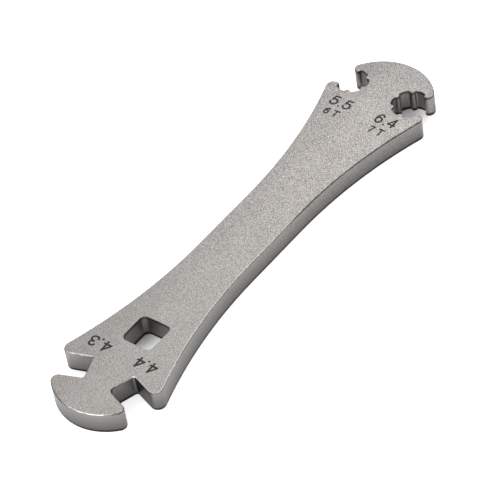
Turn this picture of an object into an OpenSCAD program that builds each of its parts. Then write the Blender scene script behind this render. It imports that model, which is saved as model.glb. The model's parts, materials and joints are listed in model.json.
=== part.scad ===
// Spoke wrench: one cast and bead-blasted plate that lies flat, with X along its length.
// The jaw end, at -X, has two open jaws for four-sided nipples and a hole for a square key.
// The splined end, at +X, has two open sockets for nipples with splines round them.

/* [Plate] */
// Length over both rounded ends
overall_length = 88.6; // [84:0.2:100]
// Thickness of the plate
thickness = 4; // [3:0.1:6]
// Width of the straight middle of the handle
handle_width = 10; // [8:0.5:12]
// Length of the straight middle of the handle
straight_length = 13; // [5:0.2:20]
// How far the middle of that straight stretch lies from the middle of the plate, towards the jaws
straight_shift = 0.35; // [-2:0.05:2]
// Radius of the long hollow sides that widen towards both ends
flare_radius = 86.5; // [75:0.5:120]

/* [Jaw end] */
// Radius of the rounded end beyond the jaws
jaw_nose_radius = 9.25; // [8.5:0.05:10.5]
// Width of the jaw for the smaller four-sided nipple
small_jaw = 4.3; // [3.5:0.1:4.6]
// Width of the jaw for the larger four-sided nipple
large_jaw = 4.4; // [3.5:0.1:4.8]
// Middle of each jaw's floor, from the tip of the jaw end
jaw_setback = 7.9; // [7:0.1:10]
// Middle of each jaw's floor, from the line along the plate's middle
jaw_floor = 3.3; // [2.5:0.1:4]
// Lean of the jaws towards the tip of the jaw end
jaw_lean = 19; // [5:1:25]
// Rounding inside the corners of the jaws' floors
jaw_corner = 0.4; // [0.2:0.05:0.8]
// Rounding inside the larger jaw's corner that lies nearer the tip, worn rounder than the others
worn_corner = 0.7; // [0.2:0.05:1]
// Rounding of the ears beside the jaws, seen from above
jaw_ear = 1.3; // [0.5:0.05:1.6]
// Rounding of the corners between the jaws and the rounded end, seen from above
jaw_lip = 1.1; // [0.5:0.05:1.4]

/* [Square hole] */
// Width of the square hole across its flats
square_hole = 5.5; // [4:0.1:6.5]
// Rounding of the square hole's corners
square_corner = 0.9; // [0.4:0.1:1.5]
// Middle of the square hole, from the tip of the jaw end
square_setback = 18; // [16:0.1:22]

/* [Splined end] */
// Radius of the rounded end beyond the sockets
spline_nose_radius = 9.4; // [8.5:0.1:10.5]
// Lean of the sockets' mouths towards the tip of the splined end
socket_lean = 14.5; // [5:0.5:20]
// Diameter of the smaller splined nipple
small_nipple = 5.5; // [5:0.1:6]
// Teeth round the smaller socket, counting the one that its mouth cuts away
small_teeth = 6; // [6:1:8]
// Width of the smaller socket's mouth, which a spoke passes through
small_mouth = 3.85; // [3:0.05:4.2]
// Middle of the smaller socket, from the tip of the splined end
small_setback = 7.75; // [7:0.05:9]
// Middle of the smaller socket, from the line along the plate's middle
small_offset = 6.15; // [5.8:0.05:6.4]
// Diameter of the larger splined nipple
large_nipple = 6.4; // [6:0.1:6.6]
// Teeth round the larger socket, counting the one that its mouth cuts away
large_teeth = 7; // [6:1:9]
// Width of the larger socket's mouth, which a spoke passes through
large_mouth = 4.05; // [3:0.05:4.4]
// Middle of the larger socket, from the tip of the splined end
large_setback = 7.9; // [7:0.05:9]
// Middle of the larger socket, from the line along the plate's middle
large_offset = 5.6; // [5.4:0.05:6]
// Room round a nipple in its socket, on the diameter
nipple_room = 0.06; // [0:0.02:0.3]
// Height of a socket's teeth
tooth_height = 0.52; // [0.3:0.02:0.6]
// Rounding of a tooth's tip
tooth_tip = 0.5; // [0.3:0.05:0.6]
// Rounding between a tooth and the wall of its socket
tooth_root = 0.3; // [0.1:0.05:0.3]
// Rounding of the ears beside the sockets, seen from above
socket_ear = 1.2; // [0.5:0.05:1.6]
// Rounding of the corners between the sockets' mouths and the rounded end, seen from above
socket_lip = 1.1; // [0.5:0.05:1.4]

/* [Hidden] */
$fn = 96;
flare_fn = 720;
// Where two curves run into each other smoothly they cross by this much, so that no sliver is left
blend = 0.002;
// Longer than any cut across the plate needs
reach = 3 * handle_width;
half_length = overall_length / 2;
// How far the handle and a rounded end overlap: past a mouth's middle, as a share of half its width,
// and below its floor
overlap = 0.5;
handle_join = 2;

// Middle of the hollow side at one end, -1 or 1, worked out at +X and +Y
function flare_middle(end) =
    [straight_length / 2 - end * straight_shift, handle_width / 2 + flare_radius];

// A socket's wall, and the middles of the tips of its teeth, from the socket's middle
function wall_radius(nipple) = (nipple + nipple_room) / 2;
function tip_middle(nipple) = wall_radius(nipple) - tooth_height + tooth_tip;

// The four mouths: end, side, setback, offset, lean, half of the width, radius of the rounded end,
// rounding of the lip and rounding of the ear
MOUTHS = [
    [-1, 1, jaw_setback, jaw_floor, jaw_lean, small_jaw / 2, jaw_nose_radius, jaw_lip, jaw_ear],
    [-1, -1, jaw_setback, jaw_floor, jaw_lean, large_jaw / 2, jaw_nose_radius, jaw_lip, jaw_ear],
    [1, 1, small_setback, small_offset, socket_lean, small_mouth / 2, spline_nose_radius,
        socket_lip, socket_ear],
    [1, -1, large_setback, large_offset, socket_lean, large_mouth / 2, spline_nose_radius,
        socket_lip, socket_ear]];

// Each mouth is worked out at +X and +Y and mirrored to its own end and side.
// Its place, the way that it opens, and the way from it to the tip of the plate
function place(mouth) = [half_length - mouth[2], mouth[3]];
function outward(mouth) = [sin(mouth[4]), cos(mouth[4])];
function tipward(mouth) = [cos(mouth[4]), -sin(mouth[4])];
function nose_middle(mouth) = [half_length - mouth[6], 0];

// Where the line from start along way meets a circle: turn is 1 for the far side, -1 for the near
function crossing(start, way, middle, radius, turn) =
    let (from = start - middle, along = from * way)
    start + way * (turn * sqrt(along * along - from * from + radius * radius) - along);

// Middle of the rounding of the lip, where a mouth meets the rounded end
function lip_middle(mouth) =
    crossing(place(mouth) + (mouth[5] + mouth[7]) * tipward(mouth), outward(mouth),
        nose_middle(mouth), mouth[6] - mouth[7], 1);
// Middle of the rounding of the ear, where a mouth meets the hollow side
function ear_middle(mouth) =
    crossing(place(mouth) - (mouth[5] + mouth[8]) * tipward(mouth), outward(mouth),
        flare_middle(mouth[0]), flare_radius + mouth[8], -1);

module in_quadrant(mouth) {
    mirror([mouth[0] < 0 ? 1 : 0, 0]) mirror([0, mouth[1] < 0 ? 1 : 0]) children();
}

module at_mouth(mouth) {
    in_quadrant(mouth) translate(place(mouth)) rotate(-mouth[4]) children();
}

// Two points at these heights on a line up a mouth, which lies shift beside the mouth's middle line
// on the way to the tip, at the mouth's own end and side
function mouth_line(mouth, shift, heights) = [for (height = heights)
    let (point = place(mouth) + shift * mouth[5] * tipward(mouth) + height * outward(mouth))
    [mouth[0] * point.x, mouth[1] * point.y]];

// Rounded end beyond a pair of mouths. It and the handle both reach past the middle of the mouths
// and below their floors, where they overlap and join.
module rounded_end(mouth, other_mouth) {
    intersection() {
        translate(mouth[0] * nose_middle(mouth)) circle(mouth[6]);
        polygon(concat(
            mouth_line(mouth, -overlap, [-handle_join, reach]),
            [mouth[0] * [half_length + reach, 0]],
            mouth_line(other_mouth, -overlap, [reach, -handle_join])));
    }
}

// Handle from mouth to mouth, straight in its middle, with long hollow sides
module handle() {
    difference() {
        polygon(concat(
            mouth_line(MOUTHS[0], overlap, [reach, -handle_join]),
            mouth_line(MOUTHS[1], overlap, [-handle_join, reach]),
            mouth_line(MOUTHS[3], overlap, [reach, -handle_join]),
            mouth_line(MOUTHS[2], overlap, [-handle_join, reach])));
        for (side = [0, 1])
            mirror([0, side])
                translate([-straight_length / 2 - straight_shift, handle_width / 2])
                    square([straight_length, 2 * reach]);
        for (mouth = MOUTHS)
            in_quadrant(mouth)
                translate(flare_middle(mouth[0])) circle(flare_radius, $fn = flare_fn);
    }
}

// What a rounding takes off a sharp corner, between the ways that the corner's two walls face
module corner_waste(middle, radius, face_a, face_b) {
    clear = 1.1 * radius;
    corner = 1.3 * radius / (1 + face_a * face_b);
    difference() {
        polygon([middle, middle + clear * face_a, middle + corner * (face_a + face_b),
            middle + clear * face_b]);
        translate(middle) circle(radius + blend);
    }
}

module mouth_waste(mouth) {
    from_nose = lip_middle(mouth) - nose_middle(mouth);
    to_flare = flare_middle(mouth[0]) - ear_middle(mouth);
    corner_waste(lip_middle(mouth), mouth[7], -tipward(mouth), from_nose / norm(from_nose));
    corner_waste(ear_middle(mouth), mouth[8], tipward(mouth), to_flare / norm(to_flare));
}

// Open jaw with a flat floor, whose corners on the ear's side and on the tip's side are rounded
module jaw(width, ear_corner, tip_corner) {
    translate([-width / 2, ear_corner]) square([width / 2, reach]);
    translate([0, tip_corner]) square([width / 2, reach]);
    translate([ear_corner - width / 2, 0]) square([width - ear_corner - tip_corner, reach]);
    translate([ear_corner - width / 2, ear_corner]) circle(ear_corner);
    translate([width / 2 - tip_corner, tip_corner]) circle(tip_corner);
}

// One tooth, pointing to the middle of a socket, with hollow roundings down to the wall
module tooth(nipple) {
    wall = wall_radius(nipple);
    tip = tip_middle(nipple);
    root = wall - tooth_root + blend;
    turn = acos((root * root + tip * tip - pow(tooth_tip + tooth_root, 2)) / (2 * root * tip));
    root_place = root * [sin(turn), cos(turn)];
    past = 1.3 * wall * [sin(turn), cos(turn)];
    translate([0, tip]) circle(tooth_tip + blend);
    difference() {
        polygon([[-root_place.x, root_place.y], [0, tip], root_place, past, [-past.x, past.y]]);
        for (side = [-1, 1])
            translate([side * root_place.x, root_place.y]) circle(tooth_root);
    }
}

// Open socket: a round wall with teeth, and a mouth where one tooth would be. The wall ends at the
// teeth beside the mouth, whose tips the mouth trims.
module socket(nipple, teeth, mouth_width) {
    last_tooth = tip_middle(nipple) * cos(360 / teeth);
    difference() {
        circle(wall_radius(nipple));
        for (turn = [1 : teeth - 1])
            rotate(turn * 360 / teeth) tooth(nipple);
        for (side = [0, 1])
            mirror([side, 0]) translate([mouth_width / 2, last_tooth]) square(reach);
    }
    translate([-mouth_width / 2, 0]) square([mouth_width, reach]);
}

// Hole for a square key, with rounded corners
module key_hole() {
    flat = square_hole - 2 * square_corner;
    square([square_hole, flat], center = true);
    square([flat, square_hole], center = true);
    for (x = [-1, 1], y = [-1, 1])
        translate([x, y] * flat / 2) circle(square_corner);
}

module plate_outline() {
    difference() {
        union() {
            handle();
            rounded_end(MOUTHS[0], MOUTHS[1]);
            rounded_end(MOUTHS[2], MOUTHS[3]);
        }
        for (mouth = MOUTHS)
            in_quadrant(mouth) mouth_waste(mouth);
        at_mouth(MOUTHS[0]) jaw(small_jaw, jaw_corner, jaw_corner);
        at_mouth(MOUTHS[1]) jaw(large_jaw, jaw_corner, worn_corner);
        at_mouth(MOUTHS[2]) socket(small_nipple, small_teeth, small_mouth);
        at_mouth(MOUTHS[3]) socket(large_nipple, large_teeth, large_mouth);
        translate([square_setback - half_length, 0]) key_hole();
    }
}

module wrench_body() {
    color([0.70, 0.69, 0.67]) linear_extrude(thickness) plate_outline();
}

wrench_body();
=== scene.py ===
import json
import math

import bpy
import numpy as np
from mathutils import Matrix, Vector
from mathutils.kdtree import KDTree


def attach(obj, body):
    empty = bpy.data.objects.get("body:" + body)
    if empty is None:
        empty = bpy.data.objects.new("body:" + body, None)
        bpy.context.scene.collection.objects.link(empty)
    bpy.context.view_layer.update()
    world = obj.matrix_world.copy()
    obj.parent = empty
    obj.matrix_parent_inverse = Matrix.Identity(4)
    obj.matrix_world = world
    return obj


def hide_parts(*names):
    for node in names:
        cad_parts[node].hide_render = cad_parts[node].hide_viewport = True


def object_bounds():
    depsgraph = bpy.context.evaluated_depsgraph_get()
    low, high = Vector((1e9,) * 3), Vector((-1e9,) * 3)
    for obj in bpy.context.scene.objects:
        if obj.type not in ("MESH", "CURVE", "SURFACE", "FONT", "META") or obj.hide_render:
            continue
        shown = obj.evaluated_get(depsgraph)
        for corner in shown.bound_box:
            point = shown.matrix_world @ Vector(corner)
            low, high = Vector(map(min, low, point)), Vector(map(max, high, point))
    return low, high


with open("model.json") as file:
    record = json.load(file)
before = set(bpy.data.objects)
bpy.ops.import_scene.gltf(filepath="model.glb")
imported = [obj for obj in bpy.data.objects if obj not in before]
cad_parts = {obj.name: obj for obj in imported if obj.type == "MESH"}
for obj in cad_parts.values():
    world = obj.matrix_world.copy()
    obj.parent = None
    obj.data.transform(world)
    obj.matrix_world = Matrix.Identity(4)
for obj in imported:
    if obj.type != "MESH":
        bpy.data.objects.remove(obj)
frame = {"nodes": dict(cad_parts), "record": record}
cad_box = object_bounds()


# Camera
# It stands in front of the jaw end, 44 degrees up, with a long lens, and it is turned so that
# the wrench runs from the lower left of the picture to the upper right.
camera_data = bpy.data.cameras.new("camera")
camera = bpy.data.objects.new("camera", camera_data)
bpy.context.scene.collection.objects.link(camera)
camera_place = Vector((-0.221652, -0.213278, 0.297088))
camera_ahead = Vector((0.51707, 0.49796, -0.69619)).normalized()
camera_right = camera_ahead.cross(Vector((0.61302, 0.35221, 0.70722))).normalized()
camera_up = camera_right.cross(camera_ahead)
camera_turn = Matrix((camera_right, camera_up, -camera_ahead)).transposed()
camera.matrix_world = Matrix.Translation(camera_place) @ camera_turn.to_4x4()
camera_data.lens = 194.49
camera_data.sensor_width = 36
camera_data.shift_x = -0.0060
camera_data.shift_y = 0.0026
camera_data.clip_start = 0.01
camera_data.dof.use_dof = False
bpy.context.scene.camera = camera


# Wrench body
# One cast steel plate with two jaws, two splined sockets and a square hole, bead-blasted all
# over. Its edges are rounded by about 0.3 mm, and less in the openings. The piece is a merged
# copy of the solid whose rims are rolled in ring by ring.
MM = 0.001
FACE_TOP = cad_box[1][2]
UPPER_EDGE = 0.32 * MM
LOWER_EDGE = 0.36 * MM
HOLE_UPPER_EDGE = 0.18 * MM
HOLE_LOWER_EDGE = 0.16 * MM
JAW_LOWER_EDGE = 0.26 * MM
LEAST_EDGE = 0.04 * MM
EDGE_SHARE = 0.7
EDGE_STEPS = 6
HOLE_REACH = (4.0 * MM, 4.6 * MM)
JAW_REACH = (2.6 * MM, 5.2 * MM)
CREASE = math.radians(35)
MERGE_GAP = 0.001 * MM
LEVEL_SLACK = 0.01 * MM
FLAT = 0.99
NO_DEPTH = 1e-9
mount_places = {mount["name"]: mount["pos_m"][:2] for mount in frame["record"]["mounts"]}
KEY_HOLE = mount_places["key_hole"]
LARGE_SOCKET = mount_places["socket_large"]
SMALL_SOCKET = mount_places["socket_small"]
LARGE_JAW = mount_places["jaw_large"]
SMALL_JAW = mount_places["jaw_small"]
bpy.ops.object.select_all(action="DESELECT")
body = bpy.data.objects.new("plate", frame["nodes"]["wrench_body"].data.copy())
bpy.context.scene.collection.objects.link(body)
bpy.context.view_layer.objects.active = body
body.select_set(True)
bpy.ops.object.mode_set(mode="EDIT")
bpy.ops.mesh.customdata_custom_splitnormals_clear()
bpy.ops.mesh.select_all(action="SELECT")
bpy.ops.mesh.remove_doubles(threshold=MERGE_GAP)
bpy.ops.mesh.select_all(action="DESELECT")
bpy.ops.object.mode_set(mode="OBJECT")


def rim_loops():
    """The plan of the plate's outline and of its hole: loops of points, material on the left"""
    mesh = body.data
    following = {}
    for face in mesh.polygons:
        if face.normal.z > FLAT:
            corners = list(face.vertices)
            for here, there in zip(corners, corners[1:] + corners[:1]):
                following[here, there] = True
    after = {here: there for here, there in following if (there, here) not in following}
    loops = []
    while after:
        first, corner = after.popitem()
        loop = [first]
        while corner != first:
            loop.append(corner)
            corner = after.pop(corner)
        loops.append(np.array([mesh.vertices[i].co[:2] for i in loop]))
    return loops


def inward_ways(loop):
    """For each point of a loop, the way into the material, as long as a mitre needs"""
    steps = np.roll(loop, -1, axis=0) - loop
    steps /= np.linalg.norm(steps, axis=1)[:, None]
    normals = np.stack([-steps[:, 1], steps[:, 0]], axis=1)
    ways = normals + np.roll(normals, 1, axis=0)
    ways /= np.linalg.norm(ways, axis=1)[:, None]
    return ways / (ways * normals).sum(axis=1)[:, None]


def room_at(points, ways):
    """For each point, the radius of the largest disc that touches it and fits the material"""
    room = np.full(len(points), np.inf)
    for i, (point, way) in enumerate(zip(points, ways)):
        gap = points - point
        depth = gap @ (way / np.linalg.norm(way))
        ahead = depth > NO_DEPTH
        room[i] = ((gap[ahead] ** 2).sum(axis=1) / (2 * depth[ahead])).min()
    return room


loops = rim_loops()
rim = np.concatenate(loops)
rim_ways = np.concatenate([inward_ways(loop) for loop in loops])
rim_room = np.maximum(room_at(rim, rim_ways) * EDGE_SHARE, LEAST_EDGE)


def near(centres, reach):
    """For each point of the rim, 1 by any of these centres and 0 past their reach"""
    gaps = [np.hypot(rim[:, 0] - x, rim[:, 1] - y) for x, y in centres]
    return np.interp(np.min(gaps, axis=0), reach, (1, 0))


in_hole = near((KEY_HOLE, LARGE_SOCKET, SMALL_SOCKET), HOLE_REACH)
in_jaw = near((LARGE_JAW, SMALL_JAW), JAW_REACH)
upper_edge = UPPER_EDGE + (HOLE_UPPER_EDGE - UPPER_EDGE) * in_hole
lower_edge = LOWER_EDGE + (HOLE_LOWER_EDGE - LOWER_EDGE) * in_hole
lower_edge += (JAW_LOWER_EDGE - LOWER_EDGE) * in_jaw


def roll_rim(level, radius):
    """Rolls the rim at one level in, by a quarter round of each point's own radius, and caps it"""
    into = 1 if level == 0 else -1
    rim_now = rim.copy()
    level_now = np.full(len(rim), float(level))

    def move_picked(share_in, share_down):
        """Moves the selected vertices to their next place round the edge"""
        tree = KDTree(len(rim))
        for i, (point, height) in enumerate(zip(rim_now, level_now)):
            tree.insert((point[0], point[1], height), i)
        tree.balance()
        rim_now[:] = rim + rim_ways * (radius * share_in)[:, None]
        level_now[:] = level + into * radius * share_down
        for vertex in body.data.vertices:
            if vertex.select:
                i = tree.find(vertex.co)[1]
                vertex.co = (rim_now[i][0], rim_now[i][1], level_now[i])

    bpy.ops.object.mode_set(mode="EDIT")
    bpy.ops.mesh.select_mode(type="FACE")
    bpy.ops.mesh.select_all(action="DESELECT")
    bpy.ops.object.mode_set(mode="OBJECT")
    for face in body.data.polygons:
        face.select = abs(face.normal.z) > FLAT and abs(face.center.z - level) < LEVEL_SLACK
    bpy.ops.object.mode_set(mode="EDIT")
    bpy.ops.mesh.delete(type="FACE")
    bpy.ops.mesh.select_mode(type="VERT")
    bpy.ops.mesh.select_all(action="DESELECT")
    bpy.ops.mesh.select_non_manifold(use_wire=False, use_boundary=True)
    bpy.ops.object.mode_set(mode="OBJECT")
    move_picked(0, 1)
    for step in range(1, EDGE_STEPS + 1):
        angle = math.pi / 2 * step / EDGE_STEPS
        bpy.ops.object.mode_set(mode="EDIT")
        bpy.ops.mesh.extrude_edges_move()
        bpy.ops.object.mode_set(mode="OBJECT")
        move_picked(1 - math.cos(angle), 1 - math.sin(angle))
    bpy.ops.object.mode_set(mode="EDIT")
    bpy.ops.mesh.fill(use_beauty=True)
    bpy.ops.mesh.select_all(action="DESELECT")
    bpy.ops.object.mode_set(mode="OBJECT")


roll_rim(FACE_TOP, np.minimum(rim_room, upper_edge))
roll_rim(0, np.minimum(rim_room, lower_edge))
bpy.ops.object.mode_set(mode="EDIT")
bpy.ops.mesh.select_all(action="SELECT")
bpy.ops.mesh.normals_make_consistent(inside=False)
bpy.ops.mesh.select_all(action="DESELECT")
bpy.ops.object.mode_set(mode="OBJECT")
bpy.ops.object.shade_smooth_by_angle(angle=CREASE)
evened = body.modifiers.new("evened", "WEIGHTED_NORMAL")
evened.keep_sharp = True
bpy.ops.object.modifier_apply(modifier="evened")

# The blasting leaves a grain of fine pits, drawn out a little along the wrench, with a coarser
# cloudiness over them. It is turned off the noise's own planes. The marks have it too.
PIT_STRETCH = 0.4
PIT_TURN = (0.5, 0.4, 0.6)
CLOUD_SIZE = 3.8 * MM
CLOUD_AMOUNT = 0.035
NOISE_RANGE = (0.3, 0.7)


def feed(tree, socket, value):
    """Links a node's input to a socket, or sets it to a plain value"""
    if isinstance(value, bpy.types.NodeSocket):
        tree.links.new(value, socket)
    else:
        socket.default_value = value


def reckon(tree, operation, *values):
    """Adds a Math node for sockets or plain numbers, and gives its result"""
    node = tree.nodes.new("ShaderNodeMath")
    node.operation = operation
    for socket, value in zip(node.inputs, values):
        feed(tree, socket, value)
    return node.outputs["Value"]


def remap(tree, value, old, new, kind="LINEAR"):
    """Adds a Map Range node that takes a value from one range to another, and gives its result"""
    node = tree.nodes.new("ShaderNodeMapRange")
    node.interpolation_type = kind
    for title, number in zip(("From Min", "From Max", "To Min", "To Max"), (*old, *new)):
        node.inputs[title].default_value = number
    tree.links.new(value, node.inputs["Value"])
    return node.outputs["Result"]


def noise(tree, point, scale, detail):
    """Adds a Noise Texture node at a point, and gives its value"""
    node = tree.nodes.new("ShaderNodeTexNoise")
    node.inputs["Detail"].default_value = detail
    feed(tree, node.inputs["Scale"], scale)
    tree.links.new(point, node.inputs["Vector"])
    return node.outputs["Fac"]


grain = bpy.data.node_groups.new("blasted grain", "ShaderNodeTree")
for title in ("Pit size", "Contrast"):
    grain.interface.new_socket(title, in_out="INPUT", socket_type="NodeSocketFloat")
for title in ("Tone", "Height"):
    grain.interface.new_socket(title, in_out="OUTPUT", socket_type="NodeSocketFloat")
grain_in = grain.nodes.new("NodeGroupInput")
grain_out = grain.nodes.new("NodeGroupOutput")
grain_point = grain.nodes.new("ShaderNodeTexCoord").outputs["Object"]
drawn_out = grain.nodes.new("ShaderNodeMapping")
drawn_out.inputs["Scale"].default_value = (PIT_STRETCH, 1, 1)
drawn_out.inputs["Rotation"].default_value = PIT_TURN
grain.links.new(grain_point, drawn_out.inputs["Vector"])
pit_scale = reckon(grain, "DIVIDE", 1, grain_in.outputs["Pit size"])
pits = noise(grain, drawn_out.outputs["Vector"], pit_scale, detail=1)
clouds = noise(grain, grain_point, 1 / CLOUD_SIZE, detail=1)
cloud_tone = remap(grain, clouds, NOISE_RANGE, (1 - CLOUD_AMOUNT, 1 + CLOUD_AMOUNT))
pit_tone = reckon(grain, "SUBTRACT", pits, 0.5)
both_tones = reckon(grain, "MULTIPLY_ADD", pit_tone, grain_in.outputs["Contrast"], cloud_tone)
grain.links.new(both_tones, grain_out.inputs["Tone"])
grain.links.new(pits, grain_out.inputs["Height"])


def lay_grain(tree, pit_size, contrast):
    """Places the grain in a material, and gives its tone and its height"""
    node = tree.nodes.new("ShaderNodeGroup")
    node.node_tree = grain
    node.inputs["Pit size"].default_value = pit_size
    node.inputs["Contrast"].default_value = contrast
    return node.outputs["Tone"], node.outputs["Height"]


def dimmed(tree, colour, tone):
    """Adds a node that scales a colour by a tone, and gives the result"""
    node = tree.nodes.new("ShaderNodeVectorMath")
    node.operation = "SCALE"
    feed(tree, node.inputs["Vector"], colour)
    tree.links.new(tone, node.inputs["Scale"])
    return node.outputs["Vector"]


def emboss(tree, shader, height, strength, distance):
    """Adds a Bump node that gives a shader relief"""
    node = tree.nodes.new("ShaderNodeBump")
    node.inputs["Strength"].default_value = strength
    node.inputs["Distance"].default_value = distance
    tree.links.new(height, node.inputs["Height"])
    tree.links.new(node.outputs["Normal"], shader.inputs["Normal"])


# The steel itself is a little warm in colour. Its recesses get painted shade: the key hole, the
# sockets, and the larger jaw's floor and the wall on its handle side.
STEEL_PIT_SIZE = 0.06 * MM
STEEL_CONTRAST = 5.0
RECESS_REACH = 3.0 * MM
RECESS_SOFTNESS = 1.8 * MM
RECESSES = {
    "key hole": KEY_HOLE,
    "large socket": LARGE_SOCKET,
    "small socket": SMALL_SOCKET,
    "jaw floor": LARGE_JAW,
    "jaw wall": (-35.1 * MM, -6.6 * MM),
}
steel = bpy.data.materials.new("blasted steel")
steel.use_nodes = True
steel_tree = steel.node_tree
steel_shader = steel_tree.nodes["Principled BSDF"]
steel_shader.inputs["Metallic"].default_value = 1
steel_tone, steel_height = lay_grain(steel_tree, STEEL_PIT_SIZE, STEEL_CONTRAST)
steel_coordinates = steel_tree.nodes.new("ShaderNodeTexCoord")
steel_point = steel_coordinates.outputs["Object"]


def apart(tree, vector):
    """Adds a node that takes a vector apart, and gives its X, Y and Z"""
    node = tree.nodes.new("ShaderNodeSeparateXYZ")
    tree.links.new(vector, node.inputs["Vector"])
    return tuple(node.outputs)


def closeness(tree, point, centre, reach, softness):
    """A mask in plan: 1 within a reach of a centre, fading to 0 over a softness"""
    flattened = tree.nodes.new("ShaderNodeVectorMath")
    flattened.operation = "MULTIPLY"
    flattened.inputs[1].default_value = (1, 1, 0)
    tree.links.new(point, flattened.inputs[0])
    gap = tree.nodes.new("ShaderNodeVectorMath")
    gap.operation = "DISTANCE"
    gap.inputs[1].default_value = (*centre, 0)
    tree.links.new(flattened.outputs["Vector"], gap.inputs[0])
    past = reckon(tree, "SUBTRACT", gap.outputs["Value"], reach)
    return remap(tree, reckon(tree, "DIVIDE", past, softness), (0, 1), (1, 0), "SMOOTHSTEP")


def product(tree, *values):
    """Adds Math nodes that multiply several values, and gives their result"""
    result = values[0]
    for value in values[1:]:
        result = reckon(tree, "MULTIPLY", result, value)
    return result


def rest_of(tree, value):
    """Adds a Math node that takes a value from 1, and gives its result"""
    return reckon(tree, "SUBTRACT", 1, value)


def mixed(tree, factor, first, second, kind="FLOAT"):
    """Adds a Mix node of two values or colours, sockets or plain numbers, and gives its result"""
    node = tree.nodes.new("ShaderNodeMix")
    node.data_type = kind
    tree.links.new(factor, node.inputs["Factor"])
    feed(tree, node.inputs["A"], first)
    feed(tree, node.inputs["B"], second)
    return node.outputs["Result"]


along, across, height = apart(steel_tree, steel_point)
facing_x, facing_y, facing_z = apart(steel_tree, steel_coordinates.outputs["Normal"])
masks = {}
for title, centre in RECESSES.items():
    masks[title] = closeness(steel_tree, steel_point, centre, RECESS_REACH, RECESS_SOFTNESS)

# Tone by the way the surface faces, from the underside (0) over the walls (0.5) to the upper
# face (1). The walls are painted darker than the face, and the rolled lower edge darker still, as
# painted shade. The upper edge gets a painted highlight, in patches at the jaw end, and evenly
# along the larger jaw's handle side. It gets a painted dark line instead at the other end, on the
# far side, round the key hole, and elsewhere in the larger jaw and at its mouth.
STEEL_WARMTH = (0.952, 0.915)
FACE_TONE = 0.465
WALL_TONE = 0.275
LOWER_SHADE_TONES = [
    (0.0, FACE_TONE), (0.03, WALL_TONE), (0.14, 0.03),
    (0.30, 0.035), (0.40, 0.10), (0.47, WALL_TONE),
]
HIGHLIGHT_TONES = [
    (0.54, WALL_TONE), (0.66, 0.14), (0.78, 0.36),
    (0.87, 0.76), (0.94, 0.7), (0.98, FACE_TONE),
]
DARK_RIM_TONES = [
    (0.56, WALL_TONE), (0.64, 0.06), (0.82, 0.10),
    (0.90, 0.36), (0.97, FACE_TONE),
]
PATCH_SIZE = 0.7 * MM
PATCH_SHIFT = (-2.0, 1.4)
EVEN_SHIFT = 0.4
HIGHLIGHT_TO_DARK_RIM = (-2 * MM, 9 * MM)
FACES_NOSE = (-0.12, -0.3)
FACES_FAR_SIDE = (0.02, 0.2)
NOSE_LIP = (-40.4 * MM, -7.4 * MM)
EAR_TIP = (-36.3 * MM, -8.9 * MM)


def ramp(tree, value, tones):
    """Adds a Color Ramp node over the steel's tones, each with its place, and gives its colour"""
    node = tree.nodes.new("ShaderNodeValToRGB")
    stops = node.color_ramp.elements
    while len(stops) < len(tones):
        stops.new(0.5)
    for stop, (position, light) in zip(stops, tones):
        stop.position = position
        stop.color = (light, light * STEEL_WARMTH[0], light * STEEL_WARMTH[1], 1)
    tree.links.new(value, node.inputs["Fac"])
    return node.outputs["Color"]


facing = remap(steel_tree, facing_z, (-1, 1), (0, 1))
above_wall = remap(steel_tree, facing, (0.5, 1), (0, 0.5))
on_edge = product(steel_tree, rest_of(steel_tree, facing), above_wall)
faces_nose = remap(steel_tree, facing_x, FACES_NOSE, (0, 1), "SMOOTHSTEP")
even_highlight = product(steel_tree, masks["jaw wall"], faces_nose)
patches = noise(steel_tree, steel_point, 1 / PATCH_SIZE, detail=3)
patch_shift = remap(steel_tree, patches, NOISE_RANGE, PATCH_SHIFT)
shift = mixed(steel_tree, even_highlight, patch_shift, EVEN_SHIFT)
patchy_facing = reckon(steel_tree, "MULTIPLY_ADD", on_edge, shift, facing)
dark_rim = remap(steel_tree, along, HIGHLIGHT_TO_DARK_RIM, (0, 1), "SMOOTHSTEP")
at_nose_lip = closeness(steel_tree, steel_point, NOSE_LIP, reach=1.4 * MM, softness=2.2 * MM)
at_ear_tip = closeness(steel_tree, steel_point, EAR_TIP, reach=0.7 * MM, softness=0.8 * MM)
on_far_side = remap(steel_tree, facing_y, FACES_FAR_SIDE, (0, 1), "SMOOTHSTEP")
for dark_rim_mask in (masks["key hole"], masks["jaw floor"], at_nose_lip, on_far_side):
    dark_rim = reckon(steel_tree, "MAXIMUM", dark_rim, dark_rim_mask)
dark_rim = product(steel_tree, dark_rim, rest_of(steel_tree, even_highlight))
dark_rim = reckon(steel_tree, "MAXIMUM", dark_rim, at_ear_tip)
highlight_colour = ramp(steel_tree, patchy_facing, LOWER_SHADE_TONES + HIGHLIGHT_TONES)
dark_rim_colour = ramp(steel_tree, patchy_facing, LOWER_SHADE_TONES + DARK_RIM_TONES)
edge_colour = mixed(steel_tree, dark_rim, highlight_colour, dark_rim_colour, "RGBA")

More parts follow.
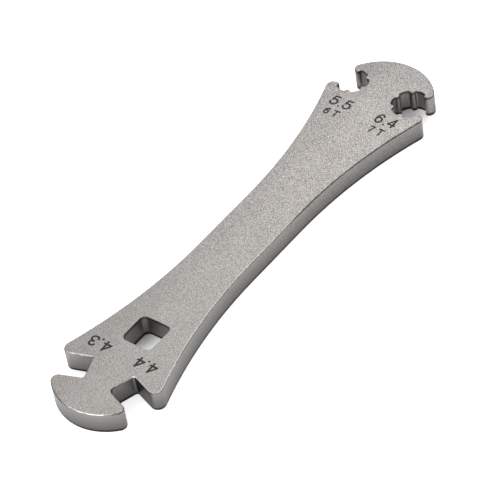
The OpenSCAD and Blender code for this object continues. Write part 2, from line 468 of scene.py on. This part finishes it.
# The walls are smoother than the face. Painted shade: the walls darken towards the underside,
# the larger jaw is darkest on its handle side, the hole and the sockets are dark below their
# brims, crevices are darker still, and the face dims to the splined tip and to its far side.
# Painted light: the wall beside the smaller jaw is paler. Most pairs are a range of places or
# shares, and the tones at its ends.
WALL_SHADE_FALL = ((0.4 * MM, 3.6 * MM), (0.36, 0.80))
FOOT_SHADE = ((0.42 * MM, 0.85 * MM), (0.12, 1))
BRIM_SHADE = ((3.3 * MM, 3.75 * MM), (1, 0.35))
JAW_WALL_SHADE = ((-8 * MM, -4.5 * MM), (0.17, 0.26))
JAW_FLOOR_SHADE = ((0, 1), (1, 0.70))
RECESS_SHADE = {"large socket": 0.93, "small socket": 0.7, "key hole": 0.72}
CREVICE_SIZE = 0.9 * MM
CREVICE_SHADE = ((0.3, 0.72), (0.45, 1))
LIT_WALL = (-35.6 * MM, 7.0 * MM)
LIT_WALL_TONE = ((0, 1), (1, 1.25))
TIP_SHADE = ((33 * MM, 43 * MM), (1, 0.88))
FAR_SHADE = ((0, 5.5 * MM), (1, 0.88))
FACES_ACROSS_JAW = (-0.4, 0.3)
upright = rest_of(steel_tree, reckon(steel_tree, "ABSOLUTE", facing_z))
wall_shade_fall = remap(steel_tree, height, *WALL_SHADE_FALL)
across_jaw = remap(steel_tree, facing_y, FACES_ACROSS_JAW, (0, 1), "SMOOTHSTEP")
jaw_wall = product(steel_tree, masks["jaw wall"], across_jaw)
jaw_wall_shade = mixed(steel_tree, jaw_wall, 1, remap(steel_tree, across, *JAW_WALL_SHADE))
jaw_floor_shade = remap(steel_tree, masks["jaw floor"], *JAW_FLOOR_SHADE)
wall_tone = product(steel_tree, wall_shade_fall, jaw_wall_shade, jaw_floor_shade)
brim_shade = remap(steel_tree, height, *BRIM_SHADE, "SMOOTHSTEP")
for title, light in RECESS_SHADE.items():
    recess_shade = product(steel_tree, brim_shade, light)
    wall_tone = mixed(steel_tree, masks[title], wall_tone, recess_shade)
foot_shade = remap(steel_tree, height, *FOOT_SHADE, "SMOOTHSTEP")
crevice = steel_tree.nodes.new("ShaderNodeAmbientOcclusion")
crevice.inputs["Distance"].default_value = CREVICE_SIZE
crevice.only_local = True
crevice_shade = remap(steel_tree, crevice.outputs["AO"], *CREVICE_SHADE)
by_lit_wall = closeness(steel_tree, steel_point, LIT_WALL, reach=2.0 * MM, softness=1.8 * MM)
lit_wall_tone = remap(steel_tree, by_lit_wall, *LIT_WALL_TONE)
wall_tone = product(steel_tree, wall_tone, foot_shade, crevice_shade, lit_wall_tone)
tip_shade = remap(steel_tree, along, *TIP_SHADE)
far_shade = remap(steel_tree, across, *FAR_SHADE)
face_tone = product(steel_tree, tip_shade, far_shade)
shade = mixed(steel_tree, upright, face_tone, wall_tone)

# The grain is fainter at the jaw end and on the walls, which have no relief
WALL_FADE = ((0, 1), (0, 0.4))
JAW_END_FADE = ((-25 * MM, 10 * MM), (0.4, 0))
FACE_ROUGHNESS = ((0, 1), (0.66, 0.46))
WALL_ROUGHNESS = 0.42
EVEN_HEIGHT = 0.5
wall_fade = remap(steel_tree, upright, *WALL_FADE)
jaw_end_fade = remap(steel_tree, along, *JAW_END_FADE)
grain_fade = reckon(steel_tree, "ADD", wall_fade, jaw_end_fade)
grain_tone = mixed(steel_tree, grain_fade, steel_tone, 1)
steel_colour = dimmed(steel_tree, edge_colour, product(steel_tree, grain_tone, shade))
steel_tree.links.new(steel_colour, steel_shader.inputs["Base Color"])
face_roughness = remap(steel_tree, steel_height, *FACE_ROUGHNESS)
roughness = mixed(steel_tree, upright, face_roughness, WALL_ROUGHNESS)
steel_tree.links.new(roughness, steel_shader.inputs["Roughness"])
relief = mixed(steel_tree, upright, steel_height, EVEN_HEIGHT)
emboss(steel_tree, steel_shader, relief, strength=0.7, distance=0.04 * MM)
body.data.materials.clear()
body.data.materials.append(steel)
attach(body, "root")
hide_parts("wrench_body")


# Size numbers
# Dark laser marks, each beside the jaw or the socket whose size it gives, drawn with single
# strokes. They have almost no height, and those at the two ends read in opposite directions.
MARK_HEIGHT = 0.006 * MM
MARK_DEPTH = 0.02 * MM
SIZE_STROKE = 0.36
TEETH_STROKE = 0.3
ROUND_END = [math.radians(angle) for angle in (18, 36, 54, 72)]
JAW_END = 1
SPLINE_END = -1
MARK_PIT_SIZE = 0.12 * MM
MARK_CONTRAST = 2.4
MARK_COLOUR = (0.030, 0.030, 0.029)
marking = bpy.data.materials.new("laser marking")
marking.use_nodes = True
marking_tree = marking.node_tree
marking_shader = marking_tree.nodes["Principled BSDF"]
marking_shader.inputs["Roughness"].default_value = 0.65
marking_shader.inputs["Specular IOR Level"].default_value = 0.3
marking_tone, marking_height = lay_grain(marking_tree, MARK_PIT_SIZE, MARK_CONTRAST)
mark_colour = dimmed(marking_tree, MARK_COLOUR, marking_tone)
marking_tree.links.new(mark_colour, marking_shader.inputs["Base Color"])
emboss(marking_tree, marking_shader, marking_height, strength=0.5, distance=0.03 * MM)


def bow(middle, base, wide, tall, first, last, steps=14):
    """Points along part of an ellipse, from one angle to another, in degrees"""
    points = []
    for i in range(steps + 1):
        angle = math.radians(first + (last - first) * i / steps)
        points.append((middle + wide * math.cos(angle), base + tall * math.sin(angle)))
    return points


# Each sign's strokes, across and up, in shares of its height
SIGNS = {
    "3": [
        bow(0.275, 0.772, 0.259, 0.228, 170, -90),
        bow(0.296, 0.272, 0.307, 0.272, 100, -163),
    ],
    "4": [
        [(0.487, 0), (0.487, 1)],
        [(0.487, 1), (0, 0.28)],
        [(0, 0.28), (0.677, 0.28)],
    ],
    "5": [
        [(0.566, 1), (0.153, 1)],
        [(0.153, 1), (0.062, 0.536)],
        bow(0.312, 0.328, 0.323, 0.328, 140.7, -165),
    ],
    "6": [
        bow(0.286, 0.315, 0.286, 0.315, 0, 360, 24),
        bow(0.333, 0.386, 0.333, 0.614, 180, 45),
    ],
    "7": [
        [(0, 1), (0.553, 1)],
        [(0.553, 1), (0.2, 0)],
    ],
    "T": [
        [(0, 1), (0.756, 1)],
        [(0.378, 1), (0.378, 0)],
    ],
    ".": [
        [(-0.012, 0.012), (0.012, 0.012)],
    ],
}


def tapered(path, stroke):
    """The points of one stroke with round ends, each with its share of the stroke's width"""
    start_way = (path[0] - path[1]).normalized() * stroke / 2
    end_way = (path[-1] - path[-2]).normalized() * stroke / 2
    points = [(path[0] + start_way * math.cos(turn), math.sin(turn)) for turn in ROUND_END]
    points += [(point, 1) for point in path]
    points += [(path[-1] + end_way * math.cos(turn), math.sin(turn)) for turn in ROUND_END[::-1]]
    return points


def mark(name, end, foot, tall, stroke, signs):
    """Draws one mark, in mm: the x of its foot, its height, and each sign with its first y"""
    bpy.ops.object.select_all(action="DESELECT")
    lines = bpy.data.curves.new(name, "CURVE")
    lines.dimensions = "3D"
    lines.bevel_depth = stroke / 2
    lines.bevel_resolution = 4
    lines.use_fill_caps = True
    for sign, first_y in signs:
        for corners in SIGNS[sign]:
            path = []
            for over, up in corners:
                path.append(Vector((first_y + end * over * tall, foot - end * up * tall, 0)))
            points = tapered(path, stroke)
            line = lines.splines.new("POLY")
            line.points.add(len(points) - 1)
            for spot, (point, share) in zip(line.points, points):
                spot.co = (*point, 1)
                spot.radius = share
    piece = bpy.data.objects.new(name, lines)
    bpy.context.scene.collection.objects.link(piece)
    bpy.context.view_layer.objects.active = piece
    piece.select_set(True)
    bpy.ops.object.convert(target="MESH")
    for vertex in piece.data.vertices:
        y, x, rise = vertex.co
        rise *= (MARK_HEIGHT if rise > 0 else MARK_DEPTH) / (stroke / 2)
        vertex.co = (x * MM, y * MM, FACE_TOP + rise)
    bpy.ops.object.mode_set(mode="EDIT")
    bpy.ops.mesh.select_all(action="SELECT")
    bpy.ops.mesh.normals_make_consistent(inside=False)
    bpy.ops.mesh.select_all(action="DESELECT")
    bpy.ops.object.mode_set(mode="OBJECT")
    bpy.ops.object.shade_smooth()
    piece.data.materials.clear()
    piece.data.materials.append(marking)
    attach(piece, "root")


mark("mark_small_jaw", JAW_END, foot=-30.75, tall=1.9, stroke=SIZE_STROKE,
    signs=[("4", 2.885), (".", 4.867), ("3", 5.5)])
mark("mark_large_jaw", JAW_END, foot=-30.75, tall=1.9, stroke=SIZE_STROKE,
    signs=[("4", -6.09), (".", -4.147), ("4", -3.635)])
mark("mark_small_socket", SPLINE_END, foot=30.165, tall=1.92, stroke=SIZE_STROKE,
    signs=[("5", 6.41), (".", 4.547), ("5", 3.87)])
mark("mark_small_teeth", SPLINE_END, foot=27.8, tall=1.25, stroke=TEETH_STROKE,
    signs=[("6", 5.88), ("T", 4.28)])
mark("mark_large_socket", SPLINE_END, foot=30.1, tall=1.9, stroke=SIZE_STROKE,
    signs=[("6", -2.73), (".", -4.547), ("4", -5.13)])
mark("mark_large_teeth", SPLINE_END, foot=27.63, tall=1.3, stroke=TEETH_STROKE,
    signs=[("7", -3.13), ("T", -4.755)])


# Floor
# A pale, matt table top just below the wrench. It glows a little so that it shows as white, but
# the glow fades out where it is seen through the square hole and the larger socket, as a painted
# shadow that is deepest towards one side of each.
FLOOR_SIZE = 4
FLOOR_GAP = 0.05 * MM
PAPER_COLOUR = (0.88, 0.88, 0.88, 1)
PAPER_GLOW = 0.62
OPENING_REACH = 3.7 * MM
OPENING_SOFTNESS = 0.8 * MM
HOLE_SHADE = (-24.6 * MM, 4.0 * MM)
SOCKET_SHADE = (35.9 * MM, -3.2 * MM)
bpy.ops.object.select_all(action="DESELECT")
bpy.ops.mesh.primitive_plane_add(size=FLOOR_SIZE, location=(0, 0, -FLOOR_GAP))
floor = bpy.context.object
floor.name = "floor"
paper = bpy.data.materials.new("pale floor")
paper.use_nodes = True
paper_tree = paper.node_tree
paper_tree.nodes.clear()
paper_out = paper_tree.nodes.new("ShaderNodeOutputMaterial")
paper_sum = paper_tree.nodes.new("ShaderNodeAddShader")
paper_matt = paper_tree.nodes.new("ShaderNodeBsdfDiffuse")
paper_matt.inputs["Color"].default_value = PAPER_COLOUR
paper_glow = paper_tree.nodes.new("ShaderNodeEmission")
paper_point = paper_tree.nodes.new("ShaderNodeTexCoord").outputs["Object"]
glow = PAPER_GLOW
for opening, shade_centre, reach, softness in (
        (KEY_HOLE, HOLE_SHADE, 1.3 * MM, 4.6 * MM),
        (LARGE_SOCKET, SOCKET_SHADE, 2.2 * MM, 4.1 * MM)):
    in_opening = closeness(paper_tree, paper_point, opening, OPENING_REACH, OPENING_SOFTNESS)
    in_shade = closeness(paper_tree, paper_point, shade_centre, reach, softness)
    lit = rest_of(paper_tree, product(paper_tree, in_opening, in_shade))
    glow = product(paper_tree, glow, lit)
ray = paper_tree.nodes.new("ShaderNodeLightPath").outputs
seen = reckon(paper_tree, "MAXIMUM", ray["Is Camera Ray"], ray["Is Glossy Ray"])
seen = reckon(paper_tree, "MAXIMUM", seen, ray["Is Transmission Ray"])
paper_tree.links.new(product(paper_tree, seen, glow), paper_glow.inputs["Strength"])
paper_tree.links.new(paper_matt.outputs["BSDF"], paper_sum.inputs[0])
paper_tree.links.new(paper_glow.outputs["Emission"], paper_sum.inputs[1])
paper_tree.links.new(paper_sum.outputs["Shader"], paper_out.inputs["Surface"])
floor.data.materials.append(paper)


# Light
# An even white room. A small soft lamp hangs over the splined end and brightens the face there,
# and a larger one, far out beyond the jaw end, lights the walls of its nose.
ROOM_LIGHT = 0.83
world = bpy.data.worlds.new("studio")
bpy.context.scene.world = world
world.use_nodes = True
room = world.node_tree.nodes["Background"]
room.inputs["Color"].default_value = (1, 1, 1, 1)
room.inputs["Strength"].default_value = ROOM_LIGHT


def hang_lamp(name, place, size, power):
    """Hangs a round lamp that points at the wrench and isn't seen itself"""
    lamp_data = bpy.data.lights.new(name, "AREA")
    lamp_data.shape = "DISK"
    lamp_data.size = size
    lamp_data.energy = power
    lamp = bpy.data.objects.new(name, lamp_data)
    bpy.context.scene.collection.objects.link(lamp)
    lamp.location = place
    lamp.rotation_euler = (-lamp.location).to_track_quat("-Z", "Y").to_euler()
    lamp.visible_camera = False


hang_lamp("top lamp", (0.13, 0.04, 0.15), size=0.1, power=0.05)
hang_lamp("side lamp", (-0.47, -0.08, 0.13), size=0.3, power=1.75)

bpy.context.scene.view_settings.view_transform = "Standard"
